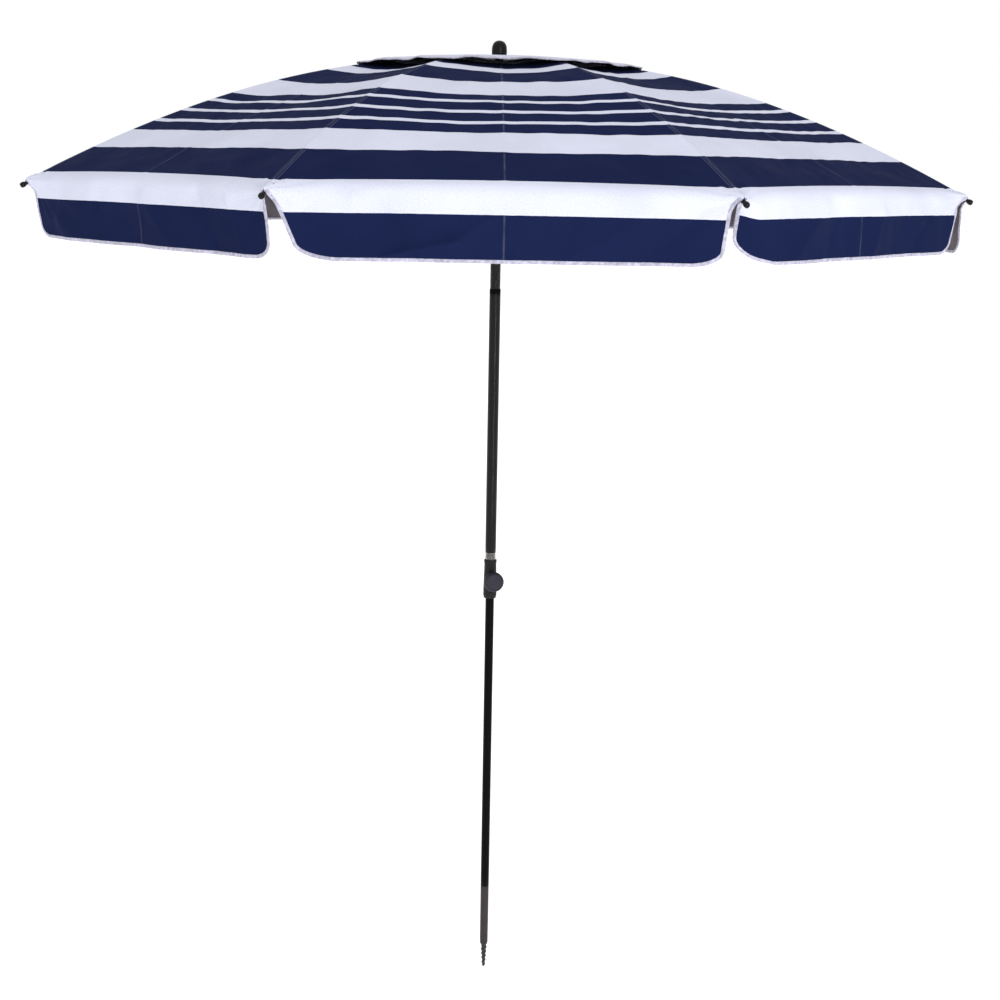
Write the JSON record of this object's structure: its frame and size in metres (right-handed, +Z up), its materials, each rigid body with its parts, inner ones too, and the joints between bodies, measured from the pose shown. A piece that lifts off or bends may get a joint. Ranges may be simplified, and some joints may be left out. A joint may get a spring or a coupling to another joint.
{
  "type": "beach umbrella",
  "caption": "Beach umbrella: striped ribbed canopy with a valance and vented top, tilting pole, clamp collar with knob and ridged ground spike.",
  "frame": {"origin": "the point of the ground spike, on the pole's axis", "axes": "+Z up along the pole, -Y towards the front panel and the clamp knob"},
  "size_m": [1.7582, 1.7582, 2.1095],
  "materials": {
    "canopy_cloth": "woven polyester, navy and white stripes",
    "cap_cloth": "woven polyester, white",
    "rib": "black glass-fibre rod",
    "frame_steel": "black painted steel",
    "pole_paint": "gloss black paint",
    "textured_paint": "wrinkled black paint",
    "black_plastic": "satin black moulding",
    "grey_plastic": "grey moulding",
    "collar_plastic": "dark grey moulding",
    "knob_plastic": "matt grey moulding",
    "clear_plastic": "milky clear bush",
    "spike_plastic": "dark grey glass-filled moulding"
  },
  "bodies": {
    "lower_pole": {"lower_pole": "pole_paint", "ground_spike": "spike_plastic"},
    "upper_pole": {"upper_pole": "pole_paint", "guide_bush": "clear_plastic", "clamp_collar": "collar_plastic", "tilt_fork": "textured_paint", "tilt_pin": "frame_steel"},
    "knob": {"clamp_knob": "knob_plastic", "clamp_screw": "frame_steel"},
    "tilt_button": {"tilt_button": "grey_plastic"},
    "canopy_pole": {"canopy_pole": "pole_paint", "tilt_tongue": "frame_steel", "top_notch": "black_plastic", "rib_wire": "frame_steel", "finial": "black_plastic", "crown_patch": "cap_cloth", "vent_cap": "cap_cloth"},
    "runner": {"runner": "black_plastic", "runner_wire": "frame_steel"},
    "runner_button": {"runner_button": "grey_plastic"},
    "rib_1": {"rib_1": "rib", "rib_tip_1": "black_plastic"},
    "stretcher_1": {"stretcher_1": "frame_steel"},
    "panel_1": {"canopy_panel_1": "canopy_cloth"},
    "valance_1": {"valance_1": "canopy_cloth"},
    "rib_2": {"rib_2": "rib", "rib_tip_2": "black_plastic"},
    "stretcher_2": {"stretcher_2": "frame_steel"},
    "panel_2": {"canopy_panel_2": "canopy_cloth"},
    "valance_2": {"valance_2": "canopy_cloth"},
    "rib_3": {"rib_3": "rib", "rib_tip_3": "black_plastic"},
    "stretcher_3": {"stretcher_3": "frame_steel"},
    "panel_3": {"canopy_panel_3": "canopy_cloth"},
    "valance_3": {"valance_3": "canopy_cloth"},
    "rib_4": {"rib_4": "rib", "rib_tip_4": "black_plastic"},
    "stretcher_4": {"stretcher_4": "frame_steel"},
    "panel_4": {"canopy_panel_4": "canopy_cloth"},
    "valance_4": {"valance_4": "canopy_cloth"},
    "rib_5": {"rib_5": "rib", "rib_tip_5": "black_plastic"},
    "stretcher_5": {"stretcher_5": "frame_steel"},
    "panel_5": {"canopy_panel_5": "canopy_cloth"},
    "valance_5": {"valance_5": "canopy_cloth"},
    "rib_6": {"rib_6": "rib", "rib_tip_6": "black_plastic"},
    "stretcher_6": {"stretcher_6": "frame_steel"},
    "panel_6": {"canopy_panel_6": "canopy_cloth"},
    "valance_6": {"valance_6": "canopy_cloth"},
    "rib_7": {"rib_7": "rib", "rib_tip_7": "black_plastic"},
    "stretcher_7": {"stretcher_7": "frame_steel"},
    "panel_7": {"canopy_panel_7": "canopy_cloth"},
    "valance_7": {"valance_7": "canopy_cloth"},
    "rib_8": {"rib_8": "rib", "rib_tip_8": "black_plastic"},
    "stretcher_8": {"stretcher_8": "frame_steel"},
    "panel_8": {"canopy_panel_8": "canopy_cloth"},
    "valance_8": {"valance_8": "canopy_cloth"}
  },
  "joints": [
    {"name": "pole_slide", "type": "slide", "parent": "lower_pole", "child": "upper_pole", "axis": [0, 0, 1], "range_m": [-0.46, 0]},
    {"name": "knob_turn", "type": "hinge", "parent": "upper_pole", "child": "knob", "pos_m": [0, 0, 0.965], "axis": [0.225, -0.9744, 0], "range_deg": [0, 720]},
    {"name": "tilt", "type": "hinge", "parent": "upper_pole", "child": "canopy_pole", "pos_m": [0, 0, 1.69], "axis": [0, 1, 0], "range_deg": [-35, 0]},
    {"name": "tilt_button_press", "type": "slide", "parent": "upper_pole", "child": "tilt_button", "axis": [0, 1, 0], "range_m": [0, 0.003], "stiffness_N_per_m": 400, "springref_m": -0.002},
    {"name": "fold", "type": "slide", "parent": "canopy_pole", "child": "runner", "axis": [0, 0, -1], "range_m": [0, 0.6032], "deforming": ["vent_cap"]},
    {"name": "runner_button_press", "type": "slide", "parent": "runner", "child": "runner_button", "axis": [0, 1, 0], "range_m": [0, 0.0024], "stiffness_N_per_m": 400, "springref_m": -0.002},
    {"name": "rib_1_hinge", "type": "hinge", "parent": "canopy_pole", "child": "rib_1", "pos_m": [0.00651, -0.01571, 2.06175], "axis": [0.9239, 0.3827, 0], "range_deg": [0, 73.3]},
    {"name": "stretcher_1_hinge", "type": "hinge", "parent": "runner", "child": "stretcher_1", "pos_m": [0.00822, -0.01984, 1.8], "axis": [0.9239, 0.3827, 0], "range_deg": [-54.7, 0]},
    {"name": "panel_1_fold", "type": "hinge", "parent": "canopy_pole", "child": "panel_1", "pos_m": [0, -0.017, 2.06175], "axis": [1, 0, 0], "range_deg": [0, 69.2], "deforming": ["canopy_panel_1"]},
    {"name": "valance_1_hang", "type": "hinge", "parent": "panel_1", "child": "valance_1", "pos_m": [0, -0.84997, 1.82924], "axis": [1, 0, 0], "range_deg": [-69.2, 0], "deforming": ["valance_1"]},
    {"name": "rib_2_hinge", "type": "hinge", "parent": "canopy_pole", "child": "rib_2", "pos_m": [0.01571, -0.00651, 2.06175], "axis": [0.3827, 0.9239, 0], "range_deg": [0, 73.3]},
    {"name": "stretcher_2_hinge", "type": "hinge", "parent": "runner", "child": "stretcher_2", "pos_m": [0.01984, -0.00822, 1.8], "axis": [0.3827, 0.9239, 0], "range_deg": [-54.7, 0]},
    {"name": "panel_2_fold", "type": "hinge", "parent": "canopy_pole", "child": "panel_2", "pos_m": [0.01202, -0.01202, 2.06175], "axis": [0.7071, 0.7071, 0], "range_deg": [0, 71.8], "deforming": ["canopy_panel_2"]},
    {"name": "valance_2_hang", "type": "hinge", "parent": "panel_2", "child": "valance_2", "pos_m": [0.60102, -0.60102, 1.82924], "axis": [0.7071, 0.7071, 0], "range_deg": [-71.8, 0], "deforming": ["valance_2"]},
    {"name": "rib_3_hinge", "type": "hinge", "parent": "canopy_pole", "child": "rib_3", "pos_m": [0.01571, 0.00651, 2.06175], "axis": [-0.3827, 0.9239, 0], "range_deg": [0, 73.3]},
    {"name": "stretcher_3_hinge", "type": "hinge", "parent": "runner", "child": "stretcher_3", "pos_m": [0.01984, 0.00822, 1.8], "axis": [-0.3827, 0.9239, 0], "range_deg": [-54.7, 0]},
    {"name": "panel_3_fold", "type": "hinge", "parent": "canopy_pole", "child": "panel_3", "pos_m": [0.017, 0, 2.06175], "axis": [0, 1, 0], "range_deg": [0, 69.2], "deforming": ["canopy_panel_3"]},
    {"name": "valance_3_hang", "type": "hinge", "parent": "panel_3", "child": "valance_3", "pos_m": [0.84997, 0, 1.82924], "axis": [0, 1, 0], "range_deg": [-69.2, 0], "deforming": ["valance_3"]},
    {"name": "rib_4_hinge", "type": "hinge", "parent": "canopy_pole", "child": "rib_4", "pos_m": [0.00651, 0.01571, 2.06175], "axis": [-0.9239, 0.3827, 0], "range_deg": [0, 73.3]},
    {"name": "stretcher_4_hinge", "type": "hinge", "parent": "runner", "child": "stretcher_4", "pos_m": [0.00822, 0.01984, 1.8], "axis": [-0.9239, 0.3827, 0], "range_deg": [-54.7, 0]},
    {"name": "panel_4_fold", "type": "hinge", "parent": "canopy_pole", "child": "panel_4", "pos_m": [0.01202, 0.01202, 2.06175], "axis": [-0.7071, 0.7071, 0], "range_deg": [0, 71.8], "deforming": ["canopy_panel_4"]},
    {"name": "valance_4_hang", "type": "hinge", "parent": "panel_4", "child": "valance_4", "pos_m": [0.60102, 0.60102, 1.82924], "axis": [-0.7071, 0.7071, 0], "range_deg": [-71.8, 0], "deforming": ["valance_4"]},
    {"name": "rib_5_hinge", "type": "hinge", "parent": "canopy_pole", "child": "rib_5", "pos_m": [-0.00651, 0.01571, 2.06175], "axis": [-0.9239, -0.3827, 0], "range_deg": [0, 73.3]},
    {"name": "stretcher_5_hinge", "type": "hinge", "parent": "runner", "child": "stretcher_5", "pos_m": [-0.00822, 0.01984, 1.8], "axis": [-0.9239, -0.3827, 0], "range_deg": [-54.7, 0]},
    {"name": "panel_5_fold", "type": "hinge", "parent": "canopy_pole", "child": "panel_5", "pos_m": [0, 0.017, 2.06175], "axis": [-1, 0, 0], "range_deg": [0, 69.2], "deforming": ["canopy_panel_5"]},
    {"name": "valance_5_hang", "type": "hinge", "parent": "panel_5", "child": "valance_5", "pos_m": [0, 0.84997, 1.82924], "axis": [-1, 0, 0], "range_deg": [-69.2, 0], "deforming": ["valance_5"]},
    {"name": "rib_6_hinge", "type": "hinge", "parent": "canopy_pole", "child": "rib_6", "pos_m": [-0.01571, 0.00651, 2.06175], "axis": [-0.3827, -0.9239, 0], "range_deg": [0, 73.3]},
    {"name": "stretcher_6_hinge", "type": "hinge", "parent": "runner", "child": "stretcher_6", "pos_m": [-0.01984, 0.00822, 1.8], "axis": [-0.3827, -0.9239, 0], "range_deg": [-54.7, 0]},
    {"name": "panel_6_fold", "type": "hinge", "parent": "canopy_pole", "child": "panel_6", "pos_m": [-0.01202, 0.01202, 2.06175], "axis": [-0.7071, -0.7071, 0], "range_deg": [0, 71.8], "deforming": ["canopy_panel_6"]},
    {"name": "valance_6_hang", "type": "hinge", "parent": "panel_6", "child": "valance_6", "pos_m": [-0.60102, 0.60102, 1.82924], "axis": [-0.7071, -0.7071, 0], "range_deg": [-71.8, 0], "deforming": ["valance_6"]},
    {"name": "rib_7_hinge", "type": "hinge", "parent": "canopy_pole", "child": "rib_7", "pos_m": [-0.01571, -0.00651, 2.06175], "axis": [0.3827, -0.9239, 0], "range_deg": [0, 73.3]},
    {"name": "stretcher_7_hinge", "type": "hinge", "parent": "runner", "child": "stretcher_7", "pos_m": [-0.01984, -0.00822, 1.8], "axis": [0.3827, -0.9239, 0], "range_deg": [-54.7, 0]},
    {"name": "panel_7_fold", "type": "hinge", "parent": "canopy_pole", "child": "panel_7", "pos_m": [-0.017, 0, 2.06175], "axis": [0, -1, 0], "range_deg": [0, 69.2], "deforming": ["canopy_panel_7"]},
    {"name": "valance_7_hang", "type": "hinge", "parent": "panel_7", "child": "valance_7", "pos_m": [-0.84997, 0, 1.82924], "axis": [0, -1, 0], "range_deg": [-69.2, 0], "deforming": ["valance_7"]},
    {"name": "rib_8_hinge", "type": "hinge", "parent": "canopy_pole", "child": "rib_8", "pos_m": [-0.00651, -0.01571, 2.06175], "axis": [0.9239, -0.3827, 0], "range_deg": [0, 73.3]},
    {"name": "stretcher_8_hinge", "type": "hinge", "parent": "runner", "child": "stretcher_8", "pos_m": [-0.00822, -0.01984, 1.8], "axis": [0.9239, -0.3827, 0], "range_deg": [-54.7, 0]},
    {"name": "panel_8_fold", "type": "hinge", "parent": "canopy_pole", "child": "panel_8", "pos_m": [-0.01202, -0.01202, 2.06175], "axis": [0.7071, -0.7071, 0], "range_deg": [0, 71.8], "deforming": ["canopy_panel_8"]},
    {"name": "valance_8_hang", "type": "hinge", "parent": "panel_8", "child": "valance_8", "pos_m": [-0.60102, -0.60102, 1.82924], "axis": [0.7071, -0.7071, 0], "range_deg": [-71.8, 0], "deforming": ["valance_8"]}
  ],
  "couplings": [
    {"joint": "rib_1_hinge", "follows": "fold", "rad_per_m": 2.1176},
    {"joint": "stretcher_1_hinge", "follows": "fold", "rad_per_m": -1.5792},
    {"joint": "panel_1_fold", "follows": "fold", "rad_per_m": 1.9972},
    {"joint": "valance_1_hang", "follows": "fold", "rad_per_m": -1.9972},
    {"joint": "rib_2_hinge", "follows": "fold", "rad_per_m": 2.1176},
    {"joint": "stretcher_2_hinge", "follows": "fold", "rad_per_m": -1.5792},
    {"joint": "panel_2_fold", "follows": "fold", "rad_per_m": 2.0741},
    {"joint": "valance_2_hang", "follows": "fold", "rad_per_m": -2.0741},
    {"joint": "rib_3_hinge", "follows": "fold", "rad_per_m": 2.1176},
    {"joint": "stretcher_3_hinge", "follows": "fold", "rad_per_m": -1.5792},
    {"joint": "panel_3_fold", "follows": "fold", "rad_per_m": 1.9972},
    {"joint": "valance_3_hang", "follows": "fold", "rad_per_m": -1.9972},
    {"joint": "rib_4_hinge", "follows": "fold", "rad_per_m": 2.1176},
    {"joint": "stretcher_4_hinge", "follows": "fold", "rad_per_m": -1.5792},
    {"joint": "panel_4_fold", "follows": "fold", "rad_per_m": 2.0741},
    {"joint": "valance_4_hang", "follows": "fold", "rad_per_m": -2.0741},
    {"joint": "rib_5_hinge", "follows": "fold", "rad_per_m": 2.1176},
    {"joint": "stretcher_5_hinge", "follows": "fold", "rad_per_m": -1.5792},
    {"joint": "panel_5_fold", "follows": "fold", "rad_per_m": 1.9972},
    {"joint": "valance_5_hang", "follows": "fold", "rad_per_m": -1.9972},
    {"joint": "rib_6_hinge", "follows": "fold", "rad_per_m": 2.1176},
    {"joint": "stretcher_6_hinge", "follows": "fold", "rad_per_m": -1.5792},
    {"joint": "panel_6_fold", "follows": "fold", "rad_per_m": 2.0741},
    {"joint": "valance_6_hang", "follows": "fold", "rad_per_m": -2.0741},
    {"joint": "rib_7_hinge", "follows": "fold", "rad_per_m": 2.1176},
    {"joint": "stretcher_7_hinge", "follows": "fold", "rad_per_m": -1.5792},
    {"joint": "panel_7_fold", "follows": "fold", "rad_per_m": 1.9972},
    {"joint": "valance_7_hang", "follows": "fold", "rad_per_m": -1.9972},
    {"joint": "rib_8_hinge", "follows": "fold", "rad_per_m": 2.1176},
    {"joint": "stretcher_8_hinge", "follows": "fold", "rad_per_m": -1.5792},
    {"joint": "panel_8_fold", "follows": "fold", "rad_per_m": 2.0741},
    {"joint": "valance_8_hang", "follows": "fold", "rad_per_m": -2.0741}
  ]
}
